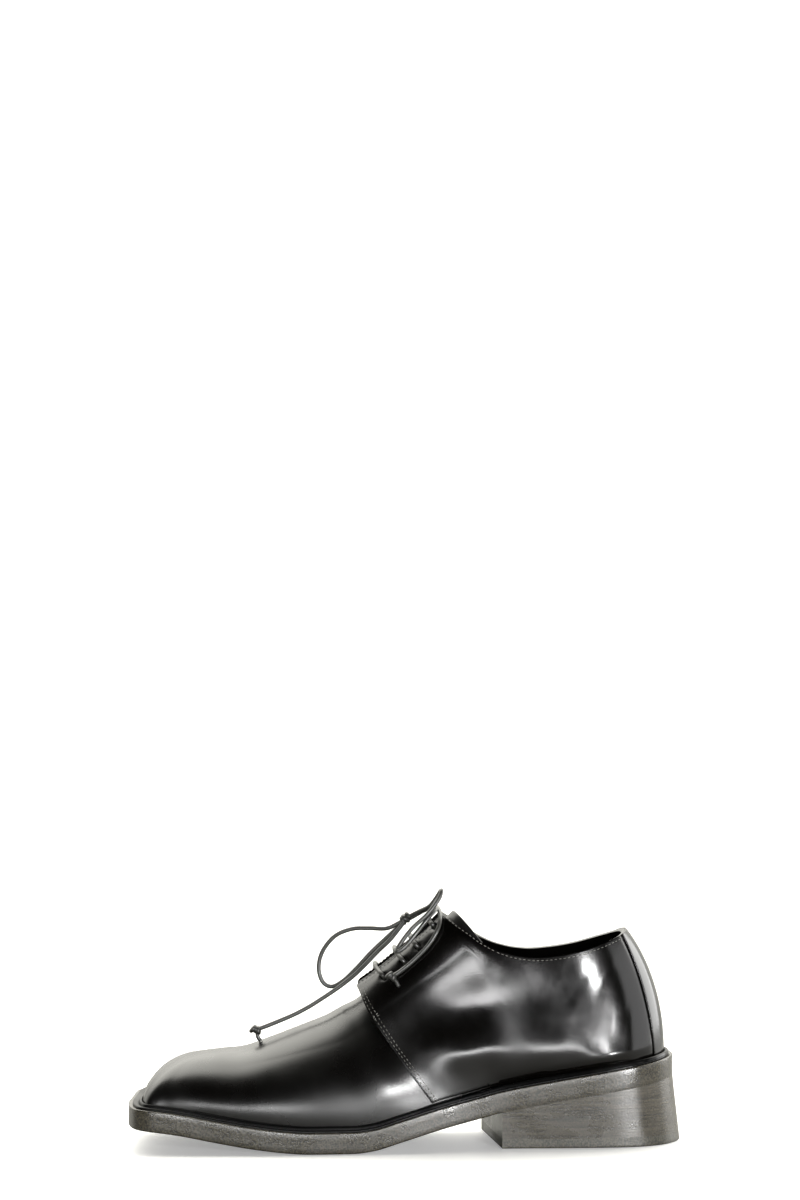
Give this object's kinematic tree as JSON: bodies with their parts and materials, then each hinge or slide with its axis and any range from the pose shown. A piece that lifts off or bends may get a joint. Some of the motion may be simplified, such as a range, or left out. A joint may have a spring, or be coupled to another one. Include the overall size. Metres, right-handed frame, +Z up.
{
  "type": "derby shoe",
  "caption": "Women's black leather derby shoe for the left foot: square toe, block heel, open lacing tied in a loose bow.",
  "frame": {"origin": "middle of the footprint, on the floor that the shoe stands on", "axes": "-X toward the toe, +X toward the heel, -Y the outer (lateral) side, +Y the inner (medial) side, +Z up"},
  "size_m": [0.2783, 0.095, 0.1276],
  "materials": {
    "upper_leather": "polished black leather, high gloss over fine grain",
    "tongue_leather": "black leather, semi gloss",
    "sole_leather": "grey-brown edge, satin, fine pebbly grain",
    "welt": "black, semi gloss",
    "heel_stack": "grey-brown, fine level streaks, satin",
    "top_lift": "grey-green, matte",
    "insole": "dark leather, matte",
    "lace": "dark grey-green waxed braid"
  },
  "bodies": {
    "root": {"outsole": "sole_leather", "welt": "welt", "heel_stack": "heel_stack", "top_lift": "top_lift", "upper": "upper_leather", "back_strip": "upper_leather", "tongue": "tongue_leather", "insole": "insole", "lace_bar_1": "lace", "lace_bar_2": "lace", "lace_bar_3": "lace", "lace_bar_4": "lace", "bow_knot": "lace", "bow_loop_1": "lace", "bow_loop_2": "lace", "lace_end_1": "lace", "lace_end_2": "lace", "end_knot_1": "lace", "end_knot_2": "lace"}
  },
  "joints": []
}
